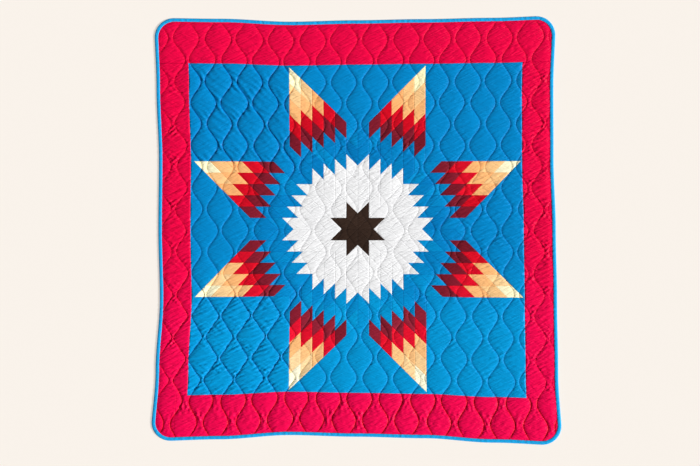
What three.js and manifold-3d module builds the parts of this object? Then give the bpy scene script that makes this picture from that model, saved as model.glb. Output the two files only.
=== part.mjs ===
// A star quilt laid out flat: a pieced centre panel, four border strips and a folded binding.
// Sizes are in millimetres. The underside lies at z = 0, +Z is up and +Y is the top of the quilt.
import * as THREE from 'three';
import { mergeVertices } from 'three/addons/utils/BufferGeometryUtils.js';
import Module from 'manifold-3d';

// Cut sizes, measured flat from the middle of the quilt
const QUILT_HALF_WIDTH = 1070;
const QUILT_HALF_LENGTH = 1125;
const CORNER_RADIUS = 107;
const FIELD_HALF_WIDTH = 897;
const FIELD_HALF_LENGTH = 886;
const PIECE_GAP = 0.3;

// Quilting: mirrored wavy lines from top to bottom that close to narrow necks and open to wide cells
const LINE_SPACING = 83.65;
const FIRST_LINE = -863;
const LOWEST_LINE = -3;
const HIGHEST_LINE = 24;
const LINE_SWING = 28.5;
const WIDEST_ROW = 1018;
const HALF_PERIOD = 114;
const BEND_SHARPNESS = 0.05;
const LINE_DRIFT = { reach: 3.5, perMm: 0.011, perLine: 2.1 };
const STEPS_PER_HALF_PERIOD = 2;
const ROWS_ABOVE_WIDEST = 2;
const ROW_COUNT = 41;

// Filled height at the stitched lines and at the crown of a wide cell
const STITCHED_HEIGHT = 4;
const CROWN_HEIGHT = 12;
const CROWN_FALL = 0.75;
const CROWN_UNEVENNESS = { share: 0.1, perMm: 0.017, perLine: 1.3 };

// Points across a cell, from one line to the next: share of the way across and share of the filled height
const CELL_STEPS = [
  { across: 0, fill: 0 },
  { across: 0.5, fill: 1 },
];

// Edge of the quilt: it thins towards the binding and a flat tongue lies in the fold of the binding
const BINDING_WIDTH = 16;
const EDGE_TAPER = 45;
const CLEAR_HEIGHT = 14;
const TONGUE_INSET = 6.3;
const TONGUE_ROOT_INSET = 20;
const TONGUE_BOTTOM = 1.3;
const TONGUE_TOP = 3.7;

// Section of the binding, folded over the edge: distance in from the rim and height
const BINDING_SECTION = [
  { inset: 16, height: 0 },
  { inset: 3.5, height: 0 },
  { inset: 1, height: 1 },
  { inset: 0, height: 3.2 },
  { inset: 1, height: 5.4 },
  { inset: 3.5, height: 6.5 },
  { inset: 10, height: 6.5 },
  { inset: 16, height: 5.6 },
  { inset: 16, height: 4 },
  { inset: 6, height: 4 },
  { inset: 6, height: 1 },
  { inset: 16, height: 1 },
];

// How far each edge lies outside its cut line, from one end to the other.
// Left and right run from the bottom up, top and bottom from the left to the right.
const EDGE_SWAY = [
  { along: -1, left: 35, right: 34, top: 8, bottom: 14 },
  { along: -0.67, left: 9, right: 13, top: 4, bottom: 4 },
  { along: -0.33, left: -14, right: 7, top: -12, bottom: -19 },
  { along: 0, left: -6, right: 0, top: -4, bottom: -10 },
  { along: 0.33, left: -9, right: -12, top: 2, bottom: -2 },
  { along: 0.67, left: 4, right: -13, top: 9, bottom: 22 },
  { along: 1, left: 16, right: 0, top: 20, bottom: 36 },
];
const SWAY_FADE = 1.5;

// Points along the outline
const STRAIGHT_STATIONS = 11;
const CORNER_STATIONS = 6;
const SEAM_STATIONS = 12;

const BLUE = 0x0584c2;
const RED = 0xe20341;
const BINDING_BLUE = 0x26a4da;

const wasm = await Module();
wasm.setup();

// Sway of one edge at a place along it, smoothed between the rows of the table
function edgeSway(side, along) {
  const last = EDGE_SWAY.length - 2;
  const found = EDGE_SWAY.findIndex((row) => row.along > along) - 1;
  const index = found < -1 ? last : Math.max(0, found);
  const from = EDGE_SWAY[index];
  const to = EDGE_SWAY[index + 1];
  const blend = THREE.MathUtils.smoothstep(along, from.along, to.along);
  return THREE.MathUtils.lerp(from[side], to[side], blend);
}

// Place on the floor of a point of the flat quilt
function swayed(u, v) {
  const acrossShare = u / QUILT_HALF_WIDTH;
  const upShare = v / QUILT_HALF_LENGTH;
  const acrossSway = edgeSway(u < 0 ? 'left' : 'right', upShare);
  const upSway = edgeSway(v < 0 ? 'bottom' : 'top', acrossShare);
  const x = u + Math.sign(u) * Math.abs(acrossShare) ** SWAY_FADE * acrossSway;
  const y = v + Math.sign(v) * Math.abs(upShare) ** SWAY_FADE * upSway;
  return new THREE.Vector2(x, y);
}

// Stations round the outline, anticlockwise: the middle of the corner arc and the way out from it.
// Along a straight side the arc middle moves from one corner to the next.
function outlineStations() {
  const halfWidth = QUILT_HALF_WIDTH - CORNER_RADIUS;
  const halfLength = QUILT_HALF_LENGTH - CORNER_RADIUS;
  const corners = [
    new THREE.Vector2(halfWidth, halfLength),
    new THREE.Vector2(-halfWidth, halfLength),
    new THREE.Vector2(-halfWidth, -halfLength),
    new THREE.Vector2(halfWidth, -halfLength),
  ];
  const stations = [];
  corners.forEach((corner, index) => {
    const next = corners[(index + 1) % corners.length];
    const startAngle = index * Math.PI / 2;
    for (let step = 0; step < CORNER_STATIONS; step += 1) {
      const angle = startAngle + step / CORNER_STATIONS * Math.PI / 2;
      stations.push({ middle: corner, angle });
    }
    for (let step = 0; step < STRAIGHT_STATIONS; step += 1) {
      const middle = corner.clone().lerp(next, step / STRAIGHT_STATIONS);
      stations.push({ middle, angle: startAngle + Math.PI / 2 });
    }
  });
  return stations;
}

const STATIONS = outlineStations();

function insetPoint(station, inset) {
  const reach = CORNER_RADIUS - inset;
  const u = station.middle.x + reach * Math.cos(station.angle);
  const v = station.middle.y + reach * Math.sin(station.angle);
  return new THREE.Vector2(u, v);
}

const LAID_CENTRE = new THREE.Box2()
  .setFromPoints(STATIONS.map((station) => {
    const rim = insetPoint(station, 0);
    return swayed(rim.x, rim.y);
  }))
  .getCenter(new THREE.Vector2());

function laid(u, v) {
  return swayed(u, v).sub(LAID_CENTRE);
}

function solidFrom(positions, indices) {
  return new wasm.Manifold(new wasm.Mesh({
    numProp: 3,
    vertProperties: new Float32Array(positions),
    triVerts: new Uint32Array(indices),
  }));
}

// Solid swept round the outline from a section whose last row joins the first
function sweptRing(section) {
  const positions = [];
  const indices = [];
  STATIONS.forEach((station, place) => {
    const after = (place + 1) % STATIONS.length;
    section.forEach((row, index) => {
      const flat = insetPoint(station, row.inset);
      const point = laid(flat.x, flat.y);
      const next = (index + 1) % section.length;
      const near = place * section.length;
      const far = after * section.length;
      positions.push(point.x, point.y, row.height);
      indices.push(near + index, far + index, far + next);
      indices.push(near + index, far + next, near + next);
    });
  });
  return solidFrom(positions, indices);
}

// Solid block over the whole quilt whose rim follows a section from the bottom to the top
function cappedBlock(section) {
  const positions = [];
  const indices = [];
  const bottomMiddle = STATIONS.length * section.length;
  const topMiddle = bottomMiddle + 1;
  const last = section.length - 1;
  STATIONS.forEach((station, place) => {
    const near = place * section.length;
    const far = (place + 1) % STATIONS.length * section.length;
    section.forEach((row, index) => {
      const flat = insetPoint(station, row.inset);
      const point = laid(flat.x, flat.y);
      positions.push(point.x, point.y, row.height);
      if (index < last) {
        indices.push(near + index, far + index, far + index + 1);
        indices.push(near + index, far + index + 1, near + index + 1);
      }
    });
    indices.push(bottomMiddle, far, near);
    indices.push(topMiddle, near + last, far + last);
  });
  positions.push(0, 0, section[0].height, 0, 0, section[last].height);
  return solidFrom(positions, indices);
}

// Distance across of one quilting line at a height up the flat quilt
function lineAt(line, v) {
  const phase = Math.PI * (v - WIDEST_ROW) / HALF_PERIOD + Math.PI / 2;
  const wave = (Math.sin(phase) - BEND_SHARPNESS * Math.sin(3 * phase)) / (1 + BEND_SHARPNESS);
  const side = line % 2 === 0 ? 1 : -1;
  const drift = LINE_DRIFT.reach * Math.sin(LINE_DRIFT.perMm * v + LINE_DRIFT.perLine * line);
  return FIRST_LINE + line * LINE_SPACING + side * LINE_SWING * wave + drift;
}

// Point on top of the quilting at one step across the cell that starts at a line, thinner towards the edge
function quiltedPoint(line, step, v) {
  const start = lineAt(line, v);
  const gap = lineAt(line + 1, v) - start;
  const u = start + step.across * gap;
  const widest = LINE_SPACING + 2 * LINE_SWING;
  const sway = Math.sin(CROWN_UNEVENNESS.perLine * line + CROWN_UNEVENNESS.perMm * v);
  const crown = (gap / widest) ** CROWN_FALL * (1 + CROWN_UNEVENNESS.share * sway);
  const fromEdge = Math.min(QUILT_HALF_WIDTH - Math.abs(u), QUILT_HALF_LENGTH - Math.abs(v));
  const taper = THREE.MathUtils.smoothstep(fromEdge, 0, EDGE_TAPER);
  const height = STITCHED_HEIGHT + (CROWN_HEIGHT - STITCHED_HEIGHT) * crown * step.fill * taper;
  const place = laid(u, v);
  return new THREE.Vector3(place.x, place.y, height);
}

// The whole quilted sheet, a little larger and deeper than the quilt
function quiltedSheet() {
  const positions = [];
  const indices = [];
  const rowStep = HALF_PERIOD / STEPS_PER_HALF_PERIOD;
  const columnCount = (HIGHEST_LINE - LOWEST_LINE) * CELL_STEPS.length;
  for (let row = 0; row < ROW_COUNT; row += 1) {
    const v = WIDEST_ROW + (ROWS_ABOVE_WIDEST - row) * rowStep;
    for (let column = 0; column < columnCount; column += 1) {
      const line = LOWEST_LINE + Math.floor(column / CELL_STEPS.length);
      const point = quiltedPoint(line, CELL_STEPS[column % CELL_STEPS.length], v);
      positions.push(point.x, point.y, point.z, point.x, point.y, -CLEAR_HEIGHT);
    }
  }
  const topOf = (row, column) => 2 * (row * columnCount + column);
  const wall = (from, to) => indices.push(from, from + 1, to + 1, from, to + 1, to);
  for (let row = 0; row < ROW_COUNT - 1; row += 1) {
    for (let column = 0; column < columnCount - 1; column += 1) {
      const a = topOf(row, column);
      const b = topOf(row, column + 1);
      const c = topOf(row + 1, column + 1);
      const d = topOf(row + 1, column);
      const facets = column % CELL_STEPS.length === 0 ? [a, d, c, a, c, b] : [a, d, b, b, d, c];
      indices.push(...facets, ...facets.toReversed().map((corner) => corner + 1));
    }
    wall(topOf(row, 0), topOf(row + 1, 0));
    wall(topOf(row + 1, columnCount - 1), topOf(row, columnCount - 1));
  }
  for (let column = 0; column < columnCount - 1; column += 1) {
    wall(topOf(0, column + 1), topOf(0, column));
    wall(topOf(ROW_COUNT - 1, column), topOf(ROW_COUNT - 1, column + 1));
  }
  return solidFrom(positions, indices);
}

// Places along a side where a seam bends, the same for the panels on both sides of it
function seamStations(from, to, fieldHalf) {
  const step = 2 * fieldHalf / SEAM_STATIONS;
  const stations = Array.from({ length: SEAM_STATIONS + 1 }, (_, index) => index * step - fieldHalf);
  return [from, ...stations.filter((place) => place > from && place < to), to];
}

// Upright prism over a rectangle of the flat quilt, laid with the rest and cut back by half the gap
function regionPrism(panel) {
  const trim = PIECE_GAP / 2;
  const left = panel.left + trim;
  const right = panel.right - trim;
  const bottom = panel.bottom + trim;
  const top = panel.top - trim;
  const across = seamStations(left, right, FIELD_HALF_WIDTH);
  const up = seamStations(bottom, top, FIELD_HALF_LENGTH);
  const outline = [
    ...across.map((u) => laid(u, bottom)),
    ...up.slice(1, -1).map((v) => laid(right, v)),
    ...across.toReversed().map((u) => laid(u, top)),
    ...up.slice(1, -1).toReversed().map((v) => laid(left, v)),
  ];
  const prism = new THREE.ExtrudeGeometry(new THREE.Shape(outline), {
    depth: 2 * CLEAR_HEIGHT,
    bevelEnabled: false,
  });
  prism.translate(0, 0, -CLEAR_HEIGHT);
  prism.deleteAttribute('normal');
  prism.deleteAttribute('uv');
  const merged = mergeVertices(prism);
  return solidFrom(merged.getAttribute('position').array, merged.index.array);
}

// The sheet cut to its outline with a flat underside, and a flat tongue that lies in the fold of the binding
function quiltBody() {
  const edgeInset = BINDING_WIDTH + PIECE_GAP;
  const envelope = cappedBlock([
    { inset: edgeInset, height: 0 },
    { inset: edgeInset, height: CLEAR_HEIGHT },
  ]);
  const tongue = sweptRing([
    { inset: TONGUE_ROOT_INSET, height: TONGUE_BOTTOM },
    { inset: TONGUE_INSET, height: TONGUE_BOTTOM },
    { inset: TONGUE_INSET, height: TONGUE_TOP },
    { inset: TONGUE_ROOT_INSET, height: TONGUE_TOP },
  ]);
  return quiltedSheet().intersect(envelope).add(tongue);
}

function namedMesh(name, solid, color) {
  const { vertProperties, triVerts } = solid.getMesh();
  const geometry = new THREE.BufferGeometry();
  geometry.setAttribute('position', new THREE.BufferAttribute(vertProperties, 3));
  geometry.setIndex(new THREE.BufferAttribute(triVerts, 1));
  geometry.computeVertexNormals();
  const mesh = new THREE.Mesh(geometry, new THREE.MeshStandardMaterial({ color, roughness: 0.55 }));
  mesh.name = name;
  return mesh;
}

// Stretch of the flat quilt that each panel takes up, past the outline where it reaches the edge
const PAST_EDGE = 1300;
const PANELS = [
  {
    name: 'centre_panel',
    left: -FIELD_HALF_WIDTH,
    right: FIELD_HALF_WIDTH,
    bottom: -FIELD_HALF_LENGTH,
    top: FIELD_HALF_LENGTH,
    color: BLUE,
  },
  {
    name: 'border_top',
    left: -PAST_EDGE,
    right: PAST_EDGE,
    bottom: FIELD_HALF_LENGTH,
    top: PAST_EDGE,
    color: RED,
  },
  {
    name: 'border_bottom',
    left: -PAST_EDGE,
    right: PAST_EDGE,
    bottom: -PAST_EDGE,
    top: -FIELD_HALF_LENGTH,
    color: RED,
  },
  {
    name: 'border_left',
    left: -PAST_EDGE,
    right: -FIELD_HALF_WIDTH,
    bottom: -FIELD_HALF_LENGTH,
    top: FIELD_HALF_LENGTH,
    color: RED,
  },
  {
    name: 'border_right',
    left: FIELD_HALF_WIDTH,
    right: PAST_EDGE,
    bottom: -FIELD_HALF_LENGTH,
    top: FIELD_HALF_LENGTH,
    color: RED,
  },
];

const body = quiltBody();
const quilt = new THREE.Group();
quilt.name = 'star_quilt';
for (const panel of PANELS) {
  quilt.add(namedMesh(panel.name, body.intersect(regionPrism(panel)), panel.color));
}
quilt.add(namedMesh('binding', sweptRing(BINDING_SECTION), BINDING_BLUE));

export default quilt;
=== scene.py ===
import bmesh
import bpy
import numpy as np
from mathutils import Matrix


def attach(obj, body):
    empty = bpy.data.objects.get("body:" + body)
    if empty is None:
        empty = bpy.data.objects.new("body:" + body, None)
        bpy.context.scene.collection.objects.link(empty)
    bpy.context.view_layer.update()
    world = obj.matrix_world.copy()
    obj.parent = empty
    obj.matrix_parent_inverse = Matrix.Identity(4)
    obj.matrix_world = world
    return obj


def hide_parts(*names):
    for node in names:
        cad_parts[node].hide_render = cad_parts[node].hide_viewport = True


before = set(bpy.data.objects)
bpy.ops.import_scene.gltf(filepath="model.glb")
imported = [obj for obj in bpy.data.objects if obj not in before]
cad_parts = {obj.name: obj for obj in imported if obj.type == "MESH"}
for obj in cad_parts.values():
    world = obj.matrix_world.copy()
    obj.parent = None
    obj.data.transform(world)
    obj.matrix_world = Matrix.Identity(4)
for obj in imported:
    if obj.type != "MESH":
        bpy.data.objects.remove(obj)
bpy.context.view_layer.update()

# Quilted layers
# The pieced top, its filling and its backing are held together by wavy lines of machine stitching that
# run from the bottom edge to the top edge. The filling puffs up between the lines, and the drawn thread
# puckers the satin beside them. All sizes are metres: u runs across the flat quilt, v up it.
QUILT_HALF_WIDTH = 1.070
QUILT_HALF_LENGTH = 1.125
CORNER_RADIUS = 0.107
FIELD_HALF_WIDTH = 0.897
FIELD_HALF_LENGTH = 0.886
TONGUE_INSET = 0.0065

# How far each edge lies outside its straight line, from one end of the edge to the other: the left and
# right edges are read from the bottom up, the top and bottom edges from left to right.
SWAY_PLACES = np.array([-1, -0.67, -0.33, 0, 0.33, 0.67, 1])
EDGE_SWAY = {
    "left": np.array([35, 9, -14, -6, -9, 4, 16]) / 1000,
    "right": np.array([34, 13, 7, 0, -12, -13, 0]) / 1000,
    "top": np.array([8, 4, -12, -4, 2, 9, 20]) / 1000,
    "bottom": np.array([14, 4, -19, -10, -2, 22, 36]) / 1000,
}
SWAY_FADE = 1.5


def smooth_step(value, start, end):
    share = np.clip((value - start) / (end - start), 0, 1)
    return share * share * (3 - 2 * share)


def edge_sway(edge, along):
    """How far that edge lies outside its straight line, along from -1 to 1."""
    place = np.clip(np.searchsorted(SWAY_PLACES, along, side="right") - 1, 0, len(SWAY_PLACES) - 2)
    start, end = SWAY_PLACES[place], SWAY_PLACES[place + 1]
    share = smooth_step(along, start, end)
    return EDGE_SWAY[edge][place] * (1 - share) + EDGE_SWAY[edge][place + 1] * share


def swayed(u, v):
    """Flat cloth to the uneven lie of the real edges, which fades towards the middle of the quilt."""
    across, up = u / QUILT_HALF_WIDTH, v / QUILT_HALF_LENGTH
    side_sway = np.where(u < 0, edge_sway("left", up), edge_sway("right", up))
    end_sway = np.where(v < 0, edge_sway("bottom", across), edge_sway("top", across))
    x = u + np.sign(u) * np.abs(across) ** SWAY_FADE * side_sway
    y = v + np.sign(v) * np.abs(up) ** SWAY_FADE * end_sway
    return x, y


def rim_stations(step):
    """Points round the quilt's outer edge, anticlockwise, about a step apart, and their inward normals."""
    arc_steps = round(np.pi / 2 * CORNER_RADIUS / step)
    points, normals = [], []
    corners = [(1, -1, -90), (1, 1, 0), (-1, 1, 90), (-1, -1, 180)]
    for number, (side, end, turn) in enumerate(corners):
        centre = np.array([
            side * (QUILT_HALF_WIDTH - CORNER_RADIUS),
            end * (QUILT_HALF_LENGTH - CORNER_RADIUS),
        ])
        angles = np.radians(turn + 90 * np.arange(arc_steps + 1) / arc_steps)
        outward = np.stack([np.cos(angles), np.sin(angles)], axis=1)
        points.append(centre + CORNER_RADIUS * outward)
        normals.append(-outward)
        runs_up = number % 2 == 0
        straight = 2 * ((QUILT_HALF_LENGTH if runs_up else QUILT_HALF_WIDTH) - CORNER_RADIUS)
        straight_steps = round(straight / step)
        heading = np.array([-outward[-1][1], outward[-1][0]])
        shares = np.arange(1, straight_steps)[:, None] / straight_steps
        points.append(points[-1][-1] + shares * straight * heading)
        normals.append(np.repeat(-outward[-1:], straight_steps - 1, axis=0))
    return np.concatenate(points), np.concatenate(normals)


rim_points, _ = rim_stations(0.005)
rim_x, rim_y = swayed(rim_points[:, 0], rim_points[:, 1])
LAID_CENTRE = ((rim_x.min() + rim_x.max()) / 2, (rim_y.min() + rim_y.max()) / 2)


def laid(u, v):
    """Flat cloth to its place in the frame, whose origin is the middle of the quilt as it lies."""
    x, y = swayed(u, v)
    return x - LAID_CENTRE[0], y - LAID_CENTRE[1]


def rim_distance(u, v):
    """How far a flat point lies inside the quilt's rounded outer edge."""
    beside = np.abs(u) - (QUILT_HALF_WIDTH - CORNER_RADIUS)
    beyond = np.abs(v) - (QUILT_HALF_LENGTH - CORNER_RADIUS)
    in_corner = (beside > 0) & (beyond > 0)
    round_part = np.hypot(np.maximum(beside, 0), np.maximum(beyond, 0))
    return CORNER_RADIUS - np.where(in_corner, round_part, np.maximum(beside, beyond))


def in_bottom_border(v):
    """1 in the bottom strip, falling to 0 above it."""
    return smooth_step(-v, 0.84, 0.92)


def in_lower_left(u, v):
    """1 in the field's lower left square, where the quilting is drawn in most, falling to 0 round it."""
    return smooth_step(-u, 0.22, 0.36) * smooth_step(-v, 0.16, 0.36) * (1 - in_bottom_border(v))


def in_upper_left(u, v):
    """1 in the field's upper left square, whose lines are as deep but plain, falling to 0 round it."""
    in_corner = smooth_step(-u, 0.22, 0.36) * smooth_step(v, 0.22, 0.36)
    return in_corner * (1 - smooth_step(np.maximum(-u, v), 0.86, 0.92))


# Each point of the star is a rhombus of diamonds on two axes 45 degrees apart.
STAR_CENTRE = (0.006, 0.000)
STAR_STRETCH = (1.016, 1.006)
DIAMOND_SIDE = 0.085
DIAMONDS_A_SIDE = 6
EIGHTH = np.pi / 4


def in_star_tips(u, v):
    """1 in the pale outer diamonds of the star, which their seams hold flatter, and 0 outside them."""
    across = (u - STAR_CENTRE[0]) / STAR_STRETCH[0]
    up = (v - STAR_CENTRE[1]) / STAR_STRETCH[1]
    turn_back = np.floor(np.arctan2(up, across) / EIGHTH) * EIGHTH
    along_x = across * np.cos(turn_back) + up * np.sin(turn_back)
    along_y = up * np.cos(turn_back) - across * np.sin(turn_back)
    first_count = (along_x - along_y) / DIAMOND_SIDE
    second_count = along_y * np.sqrt(2) / DIAMOND_SIDE
    inside = smooth_step(DIAMONDS_A_SIDE - np.maximum(first_count, second_count), 0.0, 0.4)
    return inside * smooth_step(first_count + second_count, 7.0, 8.5)


FIRST_LINE = -0.863
LINE_SPACING = 0.08365
LINE_NUMBERS = np.arange(-3, 25)
HALF_WAVE = 0.114
WAVE_PEAK = 1.018
WAVE_DEPTH = 0.0285
LOW_WAVE_GAIN = 0.005
BOTTOM_WAVE_LOSS = 0.005


def line_at(line, v):
    """Where a quilting line crosses height v. Neighbouring lines wave opposite ways."""
    phase = np.pi * (v - WAVE_PEAK) / HALF_WAVE + np.pi / 2
    middle_u = FIRST_LINE + LINE_SPACING * line
    lower_left, bottom = in_lower_left(middle_u, v), in_bottom_border(v)
    pointed = 0.01 + 0.10 * lower_left
    wave = (np.sin(phase) - pointed * np.sin(3 * phase)) / (1 + pointed)
    depth = WAVE_DEPTH + LOW_WAVE_GAIN * lower_left - BOTTOM_WAVE_LOSS * bottom
    side = np.where(line % 2 == 0, 1, -1)
    drift = 0.0035 * np.sin(11 * v + 2.1 * line)
    return middle_u + side * depth * wave + drift


# Ripples are bands of noise kept near one spacing and one direction, so they run as short parallel
# puckers with sharp crests.
RIPPLE_CELLS = 640
RIPPLE_STEP = 0.0038
RIPPLE_BAND = 0.32
RIPPLE_CREST = 0.65
RIPPLE_LIMIT = 1.9


def ripple_field(seed, spacing, tilt, length):
    """Seeded puckers of unit height, spacing apart and about length long, tilted so many degrees."""
    noise = np.random.default_rng(seed).standard_normal((RIPPLE_CELLS, RIPPLE_CELLS))
    frequency = np.fft.fftfreq(RIPPLE_CELLS, RIPPLE_STEP)
    in_u, in_v = np.meshgrid(frequency, frequency)
    turn = np.radians(tilt)
    along = in_u * np.cos(turn) + in_v * np.sin(turn)
    across = in_v * np.cos(turn) - in_u * np.sin(turn)
    off_spacing = (np.abs(across) * spacing - 1) / RIPPLE_BAND
    kept = np.exp(-0.5 * off_spacing ** 2 - 0.5 * (along * length) ** 2)
    field = np.fft.ifft2(np.fft.fft2(noise) * kept).real
    crested = np.exp(RIPPLE_CREST * field / field.std())
    crested = (crested - crested.mean()) / crested.std()
    return RIPPLE_LIMIT * np.tanh(crested / RIPPLE_LIMIT)


def field_at(field, u, v):
    """The field's value at flat points, blended between its four nearest cells."""
    column = u / RIPPLE_STEP + RIPPLE_CELLS / 2
    row = v / RIPPLE_STEP + RIPPLE_CELLS / 2
    left, low = np.floor(column).astype(int), np.floor(row).astype(int)
    across, up = column - left, row - low
    lower = field[low, left] * (1 - across) + field[low, left + 1] * across
    upper = field[low + 1, left] * (1 - across) + field[low + 1, left + 1] * across
    return lower * (1 - up) + upper * up


# Where the cloth puckers: the middle and half size of each stretch in metres, the two ways its puckers
# tilt in degrees, then their spacing, length and height in millimetres. The lower left of the field and
# the side strips are drawn in most, the upper right hardly at all.
PUCKERS = [
    ((0, 0), (1.2, 1.2), (28, -36), 26, 90, 0.6),
    ((-0.60, 0.60), (0.25, 0.25), (-46, -32), 32, 130, 3.0),
    ((-0.65, -0.62), (0.25, 0.27), (26, -32), 22, 70, 3.6),
    ((0.65, -0.60), (0.20, 0.25), (-34, 26), 24, 90, 1.5),
    ((-0.98, 0), (0.06, 0.85), (36, -30), 21, 75, 4.2),
    ((0.98, 0), (0.06, 0.85), (-38, 32), 20, 70, 4.6),
    ((0, -1.0), (1.0, 0.09), (66, 108), 26, 100, 2.7),
    ((0, 1.0), (1.0, 0.09), (66, 108), 30, 110, 0.6),
    ((0, 0.38), (0.30, 0.12), (36, -32), 24, 80, 2.4),
    ((0.70, 0.05), (0.17, 0.25), (22, -28), 24, 90, 1.9),
]
PUCKER_SOFTNESS = 0.07
PUCKER_PINCH = 0.004
HIGHEST_PUCKER = 0.0058
PATCH_SPACING = 0.16
PATCH_SHARE = 0.4

# The relief is a grid: rows up the quilt and, in each gap between two lines, columns that crowd the lines.
COLUMNS_PER_GAP = 12
FIRST_COLUMN = 0.0026
SECOND_COLUMN = 0.0072
BORDER_STEPS = 48
FIELD_STEPS = 344


def near_columns(gap):
    """How far the first and second columns of a gap stand from its quilting line."""
    even_step = gap / COLUMNS_PER_GAP
    return np.minimum(FIRST_COLUMN, even_step), np.minimum(SECOND_COLUMN, 2 * even_step)


def column_distance(column, gap):
    """How far a numbered column stands from the quilting line at the left of its gap."""
    first, second = near_columns(gap)
    between = second + (gap - 2 * second) * (column - 2) / (COLUMNS_PER_GAP - 4)
    distance = np.where(column == COLUMNS_PER_GAP - 1, gap - first, between)
    distance = np.where(column == 1, first, distance)
    return np.where(column == 0, 0, distance)


def column_number(distance, gap):
    """The column, with its fraction, that stands at that distance from the left line: the way back."""
    first, second = near_columns(gap)
    nearest = np.minimum(distance, gap - distance)
    between = 2 + (nearest - second) / (gap - 2 * second) * (COLUMNS_PER_GAP - 4)
    beside = 1 + (nearest - first) / (second - first)
    number = np.where(nearest < first, nearest / first, np.where(nearest < second, beside, between))
    return np.where(distance <= gap / 2, number, COLUMNS_PER_GAP - number)


rim_end = QUILT_HALF_LENGTH - TONGUE_INSET
relief_v = np.concatenate([
    np.linspace(-rim_end, -FIELD_HALF_LENGTH, BORDER_STEPS + 1),
    np.linspace(-FIELD_HALF_LENGTH, FIELD_HALF_LENGTH, FIELD_STEPS + 1)[1:],
    np.linspace(FIELD_HALF_LENGTH, rim_end, BORDER_STEPS + 1)[1:],
])
gap_lines = np.repeat(LINE_NUMBERS[:-1], COLUMNS_PER_GAP)[None, :]
gap_columns = np.tile(np.arange(COLUMNS_PER_GAP), len(LINE_NUMBERS) - 1)[None, :]
gap_starts = line_at(gap_lines, relief_v[:, None])
gap_widths = line_at(gap_lines + 1, relief_v[:, None]) - gap_starts
from_line = column_distance(gap_columns, gap_widths)
relief_u = gap_starts + from_line
inside_u = np.clip(relief_u, -QUILT_HALF_WIDTH, QUILT_HALF_WIDTH)
inside_v = np.broadcast_to(relief_v[:, None], relief_u.shape)

# The filling rises steeply beside each line and then domes, less so where the quilting is slack.
STITCHED_HEIGHT = 0.0040
GROOVE_DEPTH = 0.0036
GROOVE_REACH = 0.0050
CROWN_RISE = 0.0046
CROWN_FALL = 0.75
WIDEST_GAP = LINE_SPACING + 2 * (WAVE_DEPTH + LOW_WAVE_GAIN)
UPPER_TIGHTNESS = 0.66
MIDDLE_SLACK = 0.60
TIP_SLACK = 0.45
unevenness = 1 + 0.1 * np.sin(1.3 * gap_lines + 17 * relief_v[:, None])
fullness = (gap_widths / WIDEST_GAP) ** CROWN_FALL * unevenness
dome = 4 * from_line * (gap_widths - from_line) / gap_widths ** 2
line_distance = np.minimum(from_line, gap_widths - from_line)
groove = 1 - np.exp(-line_distance / GROOVE_REACH)
drawn_in = np.maximum(in_lower_left(inside_u, inside_v), in_upper_left(inside_u, inside_v))
drawn_in = np.maximum(drawn_in, in_bottom_border(inside_v))
in_middle = 1 - smooth_step(np.hypot(inside_u, inside_v), 0.34, 0.50)
tightness = (UPPER_TIGHTNESS + (1 - UPPER_TIGHTNESS) * drawn_in) * (1 - MIDDLE_SLACK * in_middle)
tightness = tightness * (1 - TIP_SLACK * in_star_tips(inside_u, inside_v))
relief_z = STITCHED_HEIGHT + tightness * (GROOVE_DEPTH * groove + CROWN_RISE * fullness * dome)

pinned = 1 - np.exp(-line_distance / PUCKER_PINCH)
puckered = np.zeros_like(relief_z)
for number, (middle, reach, tilts, spacing, length, height) in enumerate(PUCKERS):
    beside = np.abs(inside_u - middle[0]) - reach[0]
    beyond = np.abs(inside_v - middle[1]) - reach[1]
    here = 1 - smooth_step(np.maximum(beside, beyond), -PUCKER_SOFTNESS, PUCKER_SOFTNESS)
    patches = ripple_field((number, 200), PATCH_SPACING, 0, PATCH_SPACING / 2)
    here = here * (1 + PATCH_SHARE * field_at(patches, inside_u, inside_v))
    for tilt in tilts:
        ripples = ripple_field((number, tilt + 90), spacing / 1000, tilt, length / 1000)
        share = height / 1000 / np.sqrt(len(tilts))
        puckered += share * here * field_at(ripples, inside_u, inside_v)
puckered *= 1 - MIDDLE_SLACK * in_middle
relief_z += pinned * HIGHEST_PUCKER * np.tanh(puckered / HIGHEST_PUCKER)


def cell_at(u, v):
    """The quilting line left of a flat point, how far off it is, and the gap to the next line."""
    line = np.floor((u - FIRST_LINE) / LINE_SPACING)
    line = np.where(u < line_at(line, v), line - 1, line)
    line = np.where(u >= line_at(line + 1, v), line + 1, line)
    start = line_at(line, v)
    return line, u - start, line_at(line + 1, v) - start


def relief_at(relief, u, v):
    """The relief's value at flat points, blended along its columns and rows."""
    line, distance, gap = cell_at(u, v)
    column = (line - LINE_NUMBERS[0]) * COLUMNS_PER_GAP + column_number(distance, gap)
    column = np.clip(column, 0, relief.shape[1] - 1.001)
    row = np.clip(np.interp(v, relief_v, np.arange(len(relief_v))), 0, relief.shape[0] - 1.001)
    left, low = np.floor(column).astype(int), np.floor(row).astype(int)
    across, up = column - left, row - low
    lower = relief[low, left] * (1 - across) + relief[low, left + 1] * across
    upper = relief[low + 1, left] * (1 - across) + relief[low + 1, left + 1] * across
    return lower * (1 - up) + upper * up


TONGUE_TOP = 0.0032
TONGUE_UNDER = 0.0014
EDGE_TAPER = 0.045


def top_surface(u, v):
    """Points of the quilt's upper face, which thins to a tongue inside the binding's fold."""
    x, y = laid(u, v)
    thinning = smooth_step(rim_distance(u, v), 0.010, EDGE_TAPER)
    z = TONGUE_TOP + (relief_at(relief_z, u, v) - TONGUE_TOP) * thinning
    return np.stack([x, y, z], axis=-1)


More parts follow.
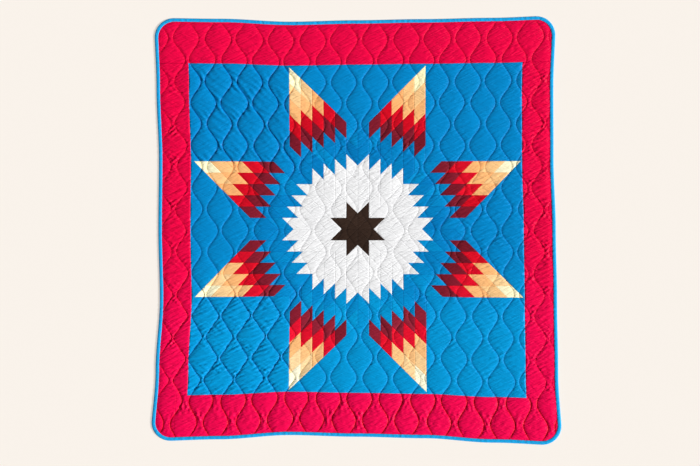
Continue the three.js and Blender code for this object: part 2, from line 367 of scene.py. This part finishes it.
def under_surface(u, v):
    """Points of the backing, which lies on the floor and rises only inside the binding's fold."""
    x, y = laid(u, v)
    z = TONGUE_UNDER * (1 - smooth_step(rim_distance(u, v), 0.014, 0.030))
    return np.stack([x, y, z], axis=-1)


# Centre panel
# The star is pieced from diamonds of polyester satin, six to a side in each of its eight points, and set
# into a blue satin field of squares and triangles. Narrow seams join them and press to a shallow valley.
UNDER_STEP = 4
BAKE_MARGIN = 0.06
# Painted shade along the quilting lines: how far from a line it reaches, how strongly it is painted
# everywhere, and how much more in the lower left and bottom strip and less on the star's pale tips.
GROOVE_SHADE_REACH = 0.0040
PALE_GROOVE_SHADE = 0.42
LOWER_LEFT_GROOVE_SHADE = 0.6
BOTTOM_GROOVE_SHADE = 1.9
TIP_GROOVE_SHADE = -0.3


def add_bake_map(mesh):
    """A map for baking: the upper face fills it, and the plain underside takes a small corner."""
    flat = np.empty(len(mesh.vertices) * 3, np.float32)
    mesh.attributes["flat"].data.foreach_get("vector", flat)
    flat = flat.reshape(-1, 3)
    corner = np.empty(len(mesh.loops), np.int32)
    mesh.loops.foreach_get("vertex_index", corner)
    places = flat[corner]
    span = (flat[:, :2].max(axis=0) - flat[:, :2].min(axis=0)).max()
    share = (places[:, :2] - flat[:, :2].min(axis=0)) / span
    upper = places[:, 2:] > 0.5
    spread = np.where(upper, BAKE_MARGIN + (1 - BAKE_MARGIN) * share, 0.9 * BAKE_MARGIN * share)
    mesh.uv_layers.new(name="OFBake").data.foreach_set("uv", spread.astype(np.float32).ravel())


def cut_panel(name, left, right, first_row, last_row):
    """One closed piece of the quilted layers between two sides and two relief rows, as a mesh object."""
    v = relief_v[first_row:last_row + 1, None]
    beyond = np.maximum(np.abs(v) - (QUILT_HALF_LENGTH - CORNER_RADIUS), 0)
    inner_radius = CORNER_RADIUS - TONGUE_INSET
    rim = QUILT_HALF_WIDTH - CORNER_RADIUS + np.sqrt(np.maximum(inner_radius ** 2 - beyond ** 2, 0))
    u = relief_u[first_row:last_row + 1]
    low, high = np.maximum(left, -rim), np.minimum(right, rim)
    columns = np.flatnonzero(((u > low) & (u < high)).any(axis=0))
    first, last = columns[0] - 1, columns[-1] + 1
    last += -(last - first) % UNDER_STEP
    last = min(last, u.shape[1] - 1)
    first -= -(last - first) % UNDER_STEP
    u = np.clip(u[:, first:last + 1], low, high)
    v = np.broadcast_to(v, u.shape)
    under_u, under_v = u[::UNDER_STEP, ::UNDER_STEP], v[::UNDER_STEP, ::UNDER_STEP]

    points = np.concatenate([
        top_surface(u, v).reshape(-1, 3),
        under_surface(under_u, under_v).reshape(-1, 3),
    ])
    flat = np.concatenate([
        np.stack([u, v, np.ones_like(u)], axis=-1).reshape(-1, 3),
        np.stack([under_u, under_v, np.zeros_like(under_u)], axis=-1).reshape(-1, 3),
    ])
    flat_u, flat_v = flat[:, 0], flat[:, 1]
    _, distance, gap = cell_at(flat_u, flat_v)
    # Painted shade: a mask along the quilting lines, stronger in some regions, that darkens the cloth's
    # colour.
    near_line = np.exp(-(np.minimum(distance, gap - distance) / GROOVE_SHADE_REACH) ** 2)
    painted_shade_weight = LOWER_LEFT_GROOVE_SHADE * in_lower_left(flat_u, flat_v) + in_upper_left(flat_u, flat_v)
    painted_shade_weight = painted_shade_weight + BOTTOM_GROOVE_SHADE * in_bottom_border(flat_v) + TIP_GROOVE_SHADE * in_star_tips(flat_u, flat_v)
    painted_groove_shade = near_line * (PALE_GROOVE_SHADE + (1 - PALE_GROOVE_SHADE) * painted_shade_weight)
    top = np.arange(u.size).reshape(u.shape)
    under = u.size + np.arange(under_u.size).reshape(under_u.shape)

    def quads(grid):
        corners = [grid[:-1, :-1], grid[:-1, 1:], grid[1:, 1:], grid[1:, :-1]]
        return np.stack(corners, axis=-1).reshape(-1, 4)

    def wall(upper, lower, outward):
        strips = []
        for step in range(len(lower) - 1):
            edge = upper[step * UNDER_STEP:(step + 1) * UNDER_STEP + 1][::-1].tolist()
            strip = [int(lower[step]), int(lower[step + 1]), *edge]
            strips.append(strip if outward else strip[::-1])
        return strips

    faces = quads(top).tolist() + quads(under)[:, ::-1].tolist()
    soft_faces = len(faces)
    faces += wall(top[0], under[0], True) + wall(top[-1], under[-1], False)
    faces += wall(top[:, 0], under[:, 0], False) + wall(top[:, -1], under[:, -1], True)

    mesh = bpy.data.meshes.new(name)
    mesh.from_pydata(points.tolist(), [], faces)
    mesh.attributes.new("flat", "FLOAT_VECTOR", "POINT").data.foreach_set(
        "vector", flat.astype(np.float32).ravel())
    mesh.attributes.new("groove", "FLOAT", "POINT").data.foreach_set(
        "value", painted_groove_shade.astype(np.float32))
    mesh.polygons.foreach_set("use_smooth", np.arange(len(faces)) < soft_faces)
    worked = bmesh.new()
    worked.from_mesh(mesh)
    bmesh.ops.remove_doubles(worked, verts=worked.verts, dist=1e-5)
    worked.to_mesh(mesh)
    worked.free()
    add_bake_map(mesh)
    panel = bpy.data.objects.new(name, mesh)
    bpy.context.collection.objects.link(panel)
    return panel


def linear(red, green, blue):
    """A colour read from a screen, 0 to 255, as the linear colour that shaders use."""
    shares = np.array([red, green, blue]) / 255
    curve = np.where(shares > 0.04045, ((shares + 0.055) / 1.055) ** 2.4, shares / 12.92)
    return (*curve.tolist(), 1.0)


def add_node(tree, kind, inputs=None, **settings):
    """A node with its settings, each named input either set to a value or linked to an output."""
    made = tree.nodes.new(kind)
    for name, value in settings.items():
        setattr(made, name, value)
    for name, value in (inputs or {}).items():
        if isinstance(value, bpy.types.NodeSocket):
            tree.links.new(value, made.inputs[name])
        else:
            made.inputs[name].default_value = value
    return made


def calc(tree, operation, *values):
    """The output of a Math node."""
    return add_node(tree, "ShaderNodeMath", dict(enumerate(values)), operation=operation).outputs[0]


def combine(tree, operation, *vectors):
    """The output of a Vector Math node."""
    made = add_node(tree, "ShaderNodeVectorMath", dict(enumerate(vectors)), operation=operation)
    return made.outputs["Vector"]


def noise(tree, place, scale, detail, distortion=0.0):
    """The value of a Noise Texture."""
    inputs = {"Vector": place, "Scale": scale, "Detail": detail, "Distortion": distortion}
    return add_node(tree, "ShaderNodeTexNoise", inputs).outputs["Fac"]


def ramp(tree, value, start, end):
    """The value carried smoothly from 0 at start to 1 at end."""
    limits = {"Value": value, "From Min": start, "From Max": end}
    return add_node(tree, "ShaderNodeMapRange", limits, interpolation_type="SMOOTHSTEP").outputs["Result"]


def tinted(tree, color, amount):
    """The colour made lighter or darker by an amount near 1."""
    return combine(tree, "MULTIPLY", color, amount)


def mixed(tree, share, first, second):
    """The first colour carried to the second by a share."""
    inputs = {"Factor": share, 6: first, 7: second}
    return add_node(tree, "ShaderNodeMix", inputs, data_type="RGBA").outputs[2]


def sunk(tree, color, light):
    """Cloth colour painted as if it got that share of the light, with what a fold's own walls give back:
    pale stays pale.
    """
    gain = calc(tree, "SUBTRACT", light, 1.0)
    open_share = combine(tree, "MULTIPLY_ADD", color, gain, (1, 1, 1))
    return combine(tree, "DIVIDE", tinted(tree, color, light), open_share)


def new_group(name, inputs, outputs):
    """An empty shader node group with named sockets, and its two end nodes."""
    tree = bpy.data.node_groups.new(name, "ShaderNodeTree")
    for in_out, sockets in (("INPUT", inputs), ("OUTPUT", outputs)):
        for socket, kind in sockets.items():
            tree.interface.new_socket(socket, in_out=in_out, socket_type="NodeSocket" + kind)
    return tree, tree.nodes.new("NodeGroupInput").outputs, tree.nodes.new("NodeGroupOutput").inputs


# Satin is the same cloth in every colour: fine threads both ways, uneven dye, and soft creases too small
# to model. It puts out the dyed colour with painted light on it, the gloss and the height of the threads
# and creases. The painted lift is how much lighter the colour is painted towards the bottom of the quilt,
# and darker towards its top.
THREAD_SPACING = 0.0006
PAINTED_LIFT_AT_BOTTOM = 0.33
satin, satin_in, satin_out = new_group(
    "satin_cloth",
    {"Flat": "Vector", "Dye": "Color", "Crease": "Float", "Lift": "Float"},
    {"Color": "Color", "Roughness": "Float", "Height": "Float"},
)
satin_axes = add_node(satin, "ShaderNodeSeparateXYZ", {0: satin_in["Flat"]}).outputs
thread_turn = 2 * np.pi / THREAD_SPACING
warp = calc(satin, "SINE", calc(satin, "MULTIPLY", satin_axes["X"], thread_turn))
weft = calc(satin, "SINE", calc(satin, "MULTIPLY", satin_axes["Y"], thread_turn))
weave = calc(satin, "MULTIPLY", warp, weft)
slubs = noise(satin, combine(satin, "MULTIPLY", satin_in["Flat"], (260, 24, 1)), 1.0, 2.0)
shades = noise(satin, satin_in["Flat"], 7.0, 3.0)
creases = noise(satin, combine(satin, "MULTIPLY", satin_in["Flat"], (26, 95, 1)), 1.0, 3.0, 0.6)
FOLD_TURNS = (0.38, -0.45)
for fold_turn in FOLD_TURNS:
    turned_place = add_node(
        satin, "ShaderNodeVectorRotate", {"Vector": satin_in["Flat"], "Angle": fold_turn},
        rotation_type="Z_AXIS").outputs["Vector"]
    fold_noise = noise(satin, combine(satin, "MULTIPLY", turned_place, (9, 62, 1)), 1.0, 1.0)
    fold_distance = calc(satin, "ABSOLUTE", calc(satin, "SUBTRACT", fold_noise, 0.56))
    creases = calc(satin, "MULTIPLY_ADD", ramp(satin, fold_distance, 0.0, 0.10), 0.9, creases)
tone = calc(satin, "ADD", calc(satin, "MULTIPLY", slubs, 0.16), calc(satin, "MULTIPLY", shades, 0.18))
tone = calc(satin, "ADD", tone, 0.83)
# Painted light: the colour is lifted towards the bottom of the quilt and lowered towards its top.
lie = add_node(satin, "ShaderNodeTexCoord").outputs["Object"]
lie_up = add_node(satin, "ShaderNodeSeparateXYZ", {0: lie}).outputs["Y"]
painted_lift_ramp = calc(satin, "SUBTRACT", ramp(satin, lie_up, -0.05, -0.60), 1 / 3)
painted_bottom_light = calc(satin, "MULTIPLY_ADD", painted_lift_ramp, satin_in["Lift"], 1.0)
satin.links.new(sunk(satin, tinted(satin, satin_in["Dye"], tone), painted_bottom_light), satin_out["Color"])
satin.links.new(calc(satin, "ADD", 0.32, calc(satin, "MULTIPLY", slubs, 0.16)), satin_out["Roughness"])
crease_height = calc(satin, "MULTIPLY", creases, satin_in["Crease"])
satin.links.new(calc(satin, "MULTIPLY_ADD", weave, 0.00004, crease_height), satin_out["Height"])

SEAM_REACH = 0.0035
FIELD_BLUE = linear(2, 140, 205)
WHITE_SATIN = linear(243, 243, 244)
RANK_COLOURS = [
    linear(58, 42, 34),
    WHITE_SATIN,
    WHITE_SATIN,
    WHITE_SATIN,
    FIELD_BLUE,
    FIELD_BLUE,
    linear(130, 28, 45),
    linear(222, 14, 40),
    linear(255, 190, 125),
    linear(255, 210, 150),
    linear(255, 248, 208),
]

# Counted in diamonds along the two axes of its point of the star, a place gives its diamond, the diamond's
# rank from the centre, and how near the place is to a seam.
star, star_in, star_out = new_group(
    "star_patchwork", {"Flat": "Vector"}, {"Color": "Color", "Seam": "Float"})
from_centre = combine(star, "SUBTRACT", star_in["Flat"], (*STAR_CENTRE, 0))
unstretched = combine(star, "DIVIDE", from_centre, (*STAR_STRETCH, 1))
star_axes = add_node(star, "ShaderNodeSeparateXYZ", {0: unstretched}).outputs
bearing = calc(star, "ARCTAN2", star_axes["Y"], star_axes["X"])
point_number = calc(star, "FLOOR", calc(star, "DIVIDE", bearing, EIGHTH))
turn_back = calc(star, "MULTIPLY", point_number, EIGHTH)
cosine, sine = calc(star, "COSINE", turn_back), calc(star, "SINE", turn_back)
along_x = calc(star, "MULTIPLY_ADD", star_axes["X"], cosine, calc(star, "MULTIPLY", star_axes["Y"], sine))
sideways = calc(star, "MULTIPLY", star_axes["X"], sine)
along_y = calc(star, "SUBTRACT", calc(star, "MULTIPLY", star_axes["Y"], cosine), sideways)
first_count = calc(star, "DIVIDE", calc(star, "SUBTRACT", along_x, along_y), DIAMOND_SIDE)
second_count = calc(star, "MULTIPLY", along_y, np.sqrt(2) / DIAMOND_SIDE)
first_number, second_number = calc(star, "FLOOR", first_count), calc(star, "FLOOR", second_count)
rank = calc(star, "ADD", first_number, second_number)
outside_count = calc(star, "SUBTRACT", calc(star, "MAXIMUM", first_count, second_count), DIAMONDS_A_SIDE)
in_star = calc(star, "LESS_THAN", outside_count, 0.0)

rank_ramp = add_node(star, "ShaderNodeValToRGB", {
    "Fac": calc(star, "DIVIDE", calc(star, "ADD", rank, 0.5), len(RANK_COLOURS))})
rank_ramp.color_ramp.interpolation = "CONSTANT"
rank_stops = rank_ramp.color_ramp.elements
while len(rank_stops) < len(RANK_COLOURS):
    rank_stops.new(1.0)
for number, colour in enumerate(RANK_COLOURS):
    rank_stops[number].position = number / len(RANK_COLOURS)
    rank_stops[number].color = colour
diamond_numbers = {"X": first_number, "Y": second_number, "Z": point_number}
diamond_place = add_node(star, "ShaderNodeCombineXYZ", diamond_numbers).outputs["Vector"]
diamond_luck = add_node(star, "ShaderNodeTexWhiteNoise", {"Vector": diamond_place}).outputs["Value"]
diamond_tone = calc(star, "ADD", 0.78, calc(star, "MULTIPLY", diamond_luck, 0.42))
diamond_colour = sunk(star, rank_ramp.outputs["Color"], diamond_tone)
upper_face = add_node(star, "ShaderNodeSeparateXYZ", {0: star_in["Flat"]}).outputs["Z"]
shown_star = calc(star, "MULTIPLY", in_star, calc(star, "GREATER_THAN", upper_face, 0.5))
pieced = mixed(star, shown_star, FIELD_BLUE, diamond_colour)

first_part = calc(star, "PINGPONG", first_count, 0.5)
second_part = calc(star, "PINGPONG", second_count, 0.5)
inner_seam = calc(star, "MINIMUM", first_part, second_part)
seam_choice = {"Factor": in_star, 2: outside_count, 3: inner_seam}
seam_count = add_node(star, "ShaderNodeMix", seam_choice, data_type="FLOAT").outputs[0]
seam_distance = calc(star, "MULTIPLY", seam_count, DIAMOND_SIDE * np.sin(EIGHTH))
star.links.new(ramp(star, seam_distance, 0.0, SEAM_REACH), star_out["Seam"])
star.links.new(pieced, star_out["Color"])


# Painted shade: how much the groove mask darkens the cloth along the quilting lines. Seams are a little
# darker and sunk.
GROOVE_SHADE = 0.62
SEAM_SHADE = 0.22
SEAM_DEPTH = 0.0007


def satin_material(name, dye, seam, crease, painted_lift):
    """A dull satin whose dye and seams are placed in its tree by the two functions given."""
    material = bpy.data.materials.new(name)
    material.use_nodes = True
    tree = material.node_tree
    shader = tree.nodes["Principled BSDF"]
    shader.inputs["Specular IOR Level"].default_value = 0.07
    flat = add_node(tree, "ShaderNodeAttribute", attribute_name="flat").outputs["Vector"]
    cloth = add_node(tree, "ShaderNodeGroup", node_tree=satin)
    tree.links.new(flat, cloth.inputs["Flat"])
    cloth.inputs["Crease"].default_value = crease
    cloth.inputs["Lift"].default_value = painted_lift
    dye_out, seam_out = dye(tree, flat), seam(tree, flat)
    seam_shade = calc(tree, "MULTIPLY_ADD", seam_out, SEAM_SHADE, 1 - SEAM_SHADE)
    # The painted shade along the quilting lines darkens the dye together with the seams.
    groove = add_node(tree, "ShaderNodeAttribute", attribute_name="groove").outputs["Fac"]
    shade = calc(tree, "MULTIPLY", seam_shade, calc(tree, "MULTIPLY_ADD", groove, -GROOVE_SHADE, 1.0))
    tree.links.new(sunk(tree, dye_out, shade), cloth.inputs["Dye"])
    height = calc(tree, "MULTIPLY_ADD", seam_out, SEAM_DEPTH, cloth.outputs["Height"])
    bump = add_node(tree, "ShaderNodeBump", {"Height": height, "Strength": 1.0, "Distance": 1.0})
    tree.links.new(cloth.outputs["Color"], shader.inputs["Base Color"])
    tree.links.new(cloth.outputs["Roughness"], shader.inputs["Roughness"])
    tree.links.new(bump.outputs["Normal"], shader.inputs["Normal"])
    return material


def star_output(output):
    """A function that places the star group in a tree and gives that output."""
    def placed(tree, flat):
        group = add_node(tree, "ShaderNodeGroup", node_tree=star)
        tree.links.new(flat, group.inputs["Flat"])
        return group.outputs[output]
    return placed


star_cloth = satin_material(
    "star_cloth", star_output("Color"), star_output("Seam"), crease=0.0008, painted_lift=PAINTED_LIFT_AT_BOTTOM)
centre_panel = cut_panel(
    "star_panel", -FIELD_HALF_WIDTH, FIELD_HALF_WIDTH, BORDER_STEPS, BORDER_STEPS + FIELD_STEPS)
centre_panel.data.materials.append(star_cloth)
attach(centre_panel, "root")
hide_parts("centre_panel")

# Border strips
# Four strips of red satin frame the field: the top and bottom ones run the quilt's full width and the
# side ones lie between them. The bottom and right strips are joined from shorter lengths with plain seams.
BORDER_RED = linear(238, 5, 72)
BOTTOM_JOINS = (-0.953, -0.670)
RIGHT_JOIN = 0.661


def plain_dye(colour):
    """A function that places one dye in a tree."""
    def placed(tree, flat):
        dye = add_node(tree, "ShaderNodeRGB").outputs["Color"]
        dye.default_value = colour
        return dye
    return placed


def border_seams(tree, flat):
    """1 on plain cloth, falling to 0 on the joins of the bottom and right strips."""
    axes = add_node(tree, "ShaderNodeSeparateXYZ", {0: flat}).outputs
    in_bottom = calc(tree, "LESS_THAN", axes["Y"], -FIELD_HALF_LENGTH)
    in_right = calc(tree, "GREATER_THAN", axes["X"], FIELD_HALF_WIDTH)
    joins = [(in_bottom, axes["X"], place) for place in BOTTOM_JOINS]
    joins.append((in_right, axes["Y"], RIGHT_JOIN))
    plain = None
    for in_strip, axis, place in joins:
        apart = calc(tree, "ABSOLUTE", calc(tree, "SUBTRACT", axis, place))
        off_strip = calc(tree, "SUBTRACT", 1.0, in_strip)
        clear = calc(tree, "MAXIMUM", ramp(tree, apart, 0.0, SEAM_REACH), off_strip)
        plain = clear if plain is None else calc(tree, "MULTIPLY", plain, clear)
    return plain


border_cloth = satin_material(
    "border_cloth", plain_dye(BORDER_RED), border_seams, crease=0.0012, painted_lift=PAINTED_LIFT_AT_BOTTOM)
last_relief_row = len(relief_v) - 1
field_start, field_end = BORDER_STEPS, BORDER_STEPS + FIELD_STEPS
BORDER_CUTS = {
    "border_top": (-QUILT_HALF_WIDTH, QUILT_HALF_WIDTH, field_end, last_relief_row),
    "border_bottom": (-QUILT_HALF_WIDTH, QUILT_HALF_WIDTH, 0, field_start),
    "border_left": (-QUILT_HALF_WIDTH, -FIELD_HALF_WIDTH, field_start, field_end),
    "border_right": (FIELD_HALF_WIDTH, QUILT_HALF_WIDTH, field_start, field_end),
}
for node_name, cut in BORDER_CUTS.items():
    strip = cut_panel(node_name + "_strip", *cut)
    strip.data.materials.append(border_cloth)
    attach(strip, "root")
    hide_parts(node_name)

# Binding
# A strip of lighter blue satin is folded over the raw edges of all the layers, runs round the rounded
# corners in one piece and is sewn through, so that it stands as a soft roll with small puckers along it.
BINDING_STEP = 0.006
BINDING_BLUE = linear(30, 165, 228)
# The folded strip's section as inset from the rim and height, anticlockwise from its upper sewn edge.
BINDING_SECTION = np.array([
    (19.0, 5.2), (17.8, 6.1), (14.5, 6.8), (10.0, 7.1), (5.6, 6.8), (2.4, 5.8), (0.5, 4.2), (0.0, 2.6),
    (0.7, 1.2), (2.6, 0.2), (6.0, 0.0), (11.0, 0.0), (16.0, 0.0), (16.6, 0.5), (16.0, 1.0), (7.0, 1.0),
    (5.4, 1.5), (5.0, 2.3), (5.4, 3.1), (7.0, 3.6), (18.0, 4.5),
]) / 1000
BINDING_PUCKER = 0.0005

binding_points, binding_normals = rim_stations(BINDING_STEP)
station_count, section_count = len(binding_points), len(BINDING_SECTION)
station_gaps = np.linalg.norm(np.roll(binding_points, -1, axis=0) - binding_points, axis=1)
binding_along = np.concatenate([[0], np.cumsum(station_gaps)[:-1]])
section_gaps = np.linalg.norm(np.roll(BINDING_SECTION, -1, axis=0) - BINDING_SECTION, axis=1)
section_along = np.concatenate([[0], np.cumsum(section_gaps)[:-1]])
pucker_noise = np.fft.rfft(np.random.default_rng(71).standard_normal(station_count))
pucker_rate = np.fft.rfftfreq(station_count, BINDING_STEP)
pucker_noise *= np.exp(-0.5 * ((pucker_rate * 0.030 - 1) / 0.5) ** 2)
pucker_wave = np.fft.irfft(pucker_noise, station_count)
pucker_wave /= pucker_wave.std()
upper_share = smooth_step(BINDING_SECTION[:, 1], 0.0042, 0.0068) * (BINDING_SECTION[:, 0] < 0.0180)
binding_flat = binding_points[:, None] + binding_normals[:, None] * BINDING_SECTION[None, :, :1]
binding_x, binding_y = laid(binding_flat[..., 0], binding_flat[..., 1])
binding_z = BINDING_SECTION[None, :, 1] + BINDING_PUCKER * pucker_wave[:, None] * upper_share
binding_mesh = bpy.data.meshes.new("edge_binding")
ring = np.arange(station_count * section_count).reshape(station_count, section_count)
next_station, next_section = np.roll(ring, -1, axis=0), np.roll(ring, -1, axis=1)
binding_quads = np.stack([ring, next_section, np.roll(next_station, -1, axis=1), next_station], axis=-1)
binding_mesh.from_pydata(
    np.stack([binding_x, binding_y, binding_z], axis=-1).reshape(-1, 3).tolist(),
    [],
    binding_quads.reshape(-1, 4).tolist(),
)
binding_mesh.polygons.foreach_set("use_smooth", np.ones(len(binding_mesh.polygons), bool))
strip_place = np.stack(np.broadcast_arrays(section_along[None, :], binding_along[:, None], 0.0), axis=-1)
binding_mesh.attributes.new("flat", "FLOAT_VECTOR", "POINT").data.foreach_set(
    "vector", strip_place.astype(np.float32).ravel())


def binding_seams(tree, flat):
    """1 on the strip, falling to 0 along its upper sewn edge."""
    axes = add_node(tree, "ShaderNodeSeparateXYZ", {0: flat}).outputs
    return ramp(tree, axes["X"], 0.0, 0.0015)


binding_cloth = satin_material(
    "binding_cloth", plain_dye(BINDING_BLUE), binding_seams, crease=0.0004, painted_lift=0.0)
binding_mesh.materials.append(binding_cloth)
edge_binding = bpy.data.objects.new("edge_binding", binding_mesh)
bpy.context.collection.objects.link(edge_binding)
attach(edge_binding, "root")
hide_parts("binding")

# Quilting thread
# Fine clear thread runs along every quilting line through all the layers, about seven machine stitches to
# 25 mm, from the binding's inner edge on one end to the other. It shows as a darker shade of the cloth
# under it.
STITCH_PITCH = 0.0036
STITCH_LENGTH = 0.0031
THREAD_WIDTH = 0.0008
STITCH_CLEARANCE = 0.019
PATH_STEP = 0.004

stitch_paths = bpy.data.curves.new("quilting_paths", "CURVE")
stitch_paths.dimensions = "3D"
path_v = np.arange(-rim_end, rim_end, PATH_STEP)
for line in LINE_NUMBERS:
    path_u = line_at(line, path_v)
    shown = rim_distance(path_u, path_v) > STITCH_CLEARANCE
    starts = np.flatnonzero(np.diff(np.concatenate([[0], shown.astype(int), [0]])))
    for start, end in zip(starts[::2], starts[1::2]):
        if end - start < 3:
            continue
        path = top_surface(path_u[start:end], path_v[start:end])
        path[:, 2] += THREAD_WIDTH / 4
        spline = stitch_paths.splines.new("POLY")
        spline.points.add(len(path) - 1)
        spline.points.foreach_set("co", np.insert(path, 3, 1.0, axis=1).astype(np.float32).ravel())

thread = bpy.data.materials.new("smoke_thread")
thread.use_nodes = True
thread_tree = thread.node_tree
thread_shader = thread_tree.nodes["Principled BSDF"]
thread_shader.inputs["Specular IOR Level"].default_value = 0.3
thread_place = add_node(thread_tree, "ShaderNodeTexCoord").outputs["Object"]
thread_noise = noise(thread_tree, thread_place, 900.0, 1.0)
thread_axes = add_node(thread_tree, "ShaderNodeSeparateXYZ", {0: thread_place}).outputs
beside_field = calc(thread_tree, "ABSOLUTE", thread_axes["X"])
beside_field = calc(thread_tree, "DIVIDE", beside_field, FIELD_HALF_WIDTH)
beyond_field = calc(thread_tree, "ABSOLUTE", thread_axes["Y"])
beyond_field = calc(thread_tree, "DIVIDE", beyond_field, FIELD_HALF_LENGTH)
off_field = calc(thread_tree, "MAXIMUM", beside_field, beyond_field)
over_border = calc(thread_tree, "GREATER_THAN", off_field, 1.0)
upper_place = combine(thread_tree, "ADD", thread_place, (0, 0, 1))
star_below = star_output("Color")(thread_tree, upper_place)
cloth_below = mixed(thread_tree, over_border, star_below, BORDER_RED)
thread_tone = tinted(thread_tree, cloth_below, calc(thread_tree, "MULTIPLY_ADD", thread_noise, 0.3, 0.1))
thread_tree.links.new(thread_tone, thread_shader.inputs["Base Color"])
thread_tree.links.new(
    calc(thread_tree, "MULTIPLY_ADD", thread_noise, 0.3, 0.4), thread_shader.inputs["Roughness"])

stitches = bpy.data.node_groups.new("quilting_stitches", "GeometryNodeTree")
stitch_sockets = {
    name: stitches.interface.new_socket(name, in_out="INPUT", socket_type="NodeSocket" + kind)
    for name, kind in {
        "Geometry": "Geometry", "Pitch": "Float", "Length": "Float", "Width": "Float", "Seed": "Int",
        "Thread": "Material",
    }.items()
}
stitches.interface.new_socket("Geometry", in_out="OUTPUT", socket_type="NodeSocketGeometry")
stitch_in = stitches.nodes.new("NodeGroupInput").outputs
spaced = add_node(
    stitches, "GeometryNodeResampleCurve",
    {"Curve": stitch_in["Geometry"], "Length": stitch_in["Pitch"]}, mode="LENGTH").outputs["Curve"]
one_stitch = add_node(
    stitches, "GeometryNodeMeshUVSphere", {"Segments": 4, "Rings": 2, "Radius": 0.5}).outputs["Mesh"]
stitch_size = add_node(
    stitches, "ShaderNodeCombineXYZ",
    {"X": stitch_in["Length"], "Y": stitch_in["Width"], "Z": stitch_in["Width"]}).outputs["Vector"]
shaped = add_node(
    stitches, "GeometryNodeTransform", {"Geometry": one_stitch, "Scale": stitch_size}).outputs["Geometry"]
heading = add_node(stitches, "GeometryNodeInputTangent").outputs["Tangent"]
turned = add_node(
    stitches, "FunctionNodeAlignRotationToVector", {"Vector": heading}, axis="X").outputs["Rotation"]
luck = add_node(
    stitches, "FunctionNodeRandomValue",
    {2: 0.85, 3: 1.1, "Seed": stitch_in["Seed"]}, data_type="FLOAT").outputs[1]
placed = add_node(
    stitches, "GeometryNodeInstanceOnPoints",
    {"Points": spaced, "Instance": shaped, "Rotation": turned, "Scale": luck}).outputs["Instances"]
realized = add_node(stitches, "GeometryNodeRealizeInstances", {"Geometry": placed}).outputs["Geometry"]
rounded = add_node(stitches, "GeometryNodeSetShadeSmooth", {"Geometry": realized}).outputs["Geometry"]
threaded = add_node(
    stitches, "GeometryNodeSetMaterial",
    {"Geometry": rounded, "Material": stitch_in["Thread"]}).outputs["Geometry"]
stitches.links.new(threaded, stitches.nodes.new("NodeGroupOutput").inputs["Geometry"])

path_object = bpy.data.objects.new("quilting_paths", stitch_paths)
bpy.context.collection.objects.link(path_object)
stitching = path_object.modifiers.new("stitching", "NODES")
stitching.node_group = stitches
for name, value in {
    "Pitch": STITCH_PITCH, "Length": STITCH_LENGTH, "Width": THREAD_WIDTH, "Seed": 5, "Thread": thread,
}.items():
    stitching[stitch_sockets[name].identifier] = value
evaluated = path_object.evaluated_get(bpy.context.evaluated_depsgraph_get())
thread_mesh = bpy.data.meshes.new_from_object(evaluated)
path_object.modifiers.remove(stitching)
bpy.data.objects.remove(path_object)
thread_mesh.name = "quilting_thread"
quilting_thread = bpy.data.objects.new("quilting_thread", thread_mesh)
bpy.context.collection.objects.link(quilting_thread)
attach(quilting_thread, "root")

# Floor, light and camera
# The quilt lies on a plain pale floor, which gives some light of its own so that shadows stay faint. A soft
# low light stands to its right and a weak one to its upper left, and the camera looks straight down through
# a long lens, as the photograph does.
FLOOR_COLOUR = linear(250, 243, 235)
FLOOR_MATT_SHARE = 0.45
FLOOR_REACH = 20.0
FLOOR_HEIGHT = -0.0003
MM_PER_PIXEL = 5.37
IMAGE_WIDTH = 700
QUILT_PIXEL = (356.5, 230.5)
IMAGE_CENTRE = (350.0, 233.0)
LENS = 100.0
SENSOR = 36.0

floor_mesh = bpy.data.meshes.new("floor")
FLOOR_ENDS = ((-1, -1), (1, -1), (1, 1), (-1, 1))
floor_corners = [(side * FLOOR_REACH, end * FLOOR_REACH, FLOOR_HEIGHT) for side, end in FLOOR_ENDS]
floor_mesh.from_pydata(floor_corners, [], [(0, 1, 2, 3)])
floor_material = bpy.data.materials.new("pale_floor")
floor_material.use_nodes = True
floor_shader = floor_material.node_tree.nodes["Principled BSDF"]
matt_colour = [FLOOR_MATT_SHARE * share for share in FLOOR_COLOUR[:3]]
floor_shader.inputs["Base Color"].default_value = (*matt_colour, 1.0)
floor_shader.inputs["Emission Color"].default_value = FLOOR_COLOUR
floor_shader.inputs["Emission Strength"].default_value = 1 - FLOOR_MATT_SHARE
floor_shader.inputs["Roughness"].default_value = 0.9
floor_shader.inputs["Specular IOR Level"].default_value = 0.0
floor_mesh.materials.append(floor_material)
floor = bpy.data.objects.new("floor", floor_mesh)
bpy.context.collection.objects.link(floor)

world = bpy.context.scene.world or bpy.data.worlds.new("studio")
bpy.context.scene.world = world
world.use_nodes = True
world.node_tree.nodes["Background"].inputs["Color"].default_value = (1.0, 0.99, 0.98, 1.0)
world.node_tree.nodes["Background"].inputs["Strength"].default_value = 0.12


def add_light(name, bearing, height, spread, strength):
    """An even, distant studio light: where it stands as seen from above and how high, in degrees."""
    lamp = bpy.data.lights.new(name, "SUN")
    lamp.angle = np.radians(spread)
    lamp.energy = strength
    made = bpy.data.objects.new(name, lamp)
    made.rotation_euler = (0, np.radians(90 - height), np.radians(bearing))
    bpy.context.collection.objects.link(made)


add_light("right_key", bearing=-12, height=27, spread=16, strength=5.5)
add_light("left_fill", bearing=150, height=55, spread=60, strength=0.3)

camera_data = bpy.data.cameras.new("camera")
camera_data.lens = LENS
camera_data.sensor_width = SENSOR
camera = bpy.data.objects.new("camera", camera_data)
camera.location = (
    (IMAGE_CENTRE[0] - QUILT_PIXEL[0]) * MM_PER_PIXEL / 1000,
    (QUILT_PIXEL[1] - IMAGE_CENTRE[1]) * MM_PER_PIXEL / 1000,
    IMAGE_WIDTH * MM_PER_PIXEL / 1000 * LENS / SENSOR,
)
camera_data.clip_end = 60.0
bpy.context.collection.objects.link(camera)
bpy.context.scene.camera = camera
bpy.context.scene.view_settings.view_transform = "Standard"
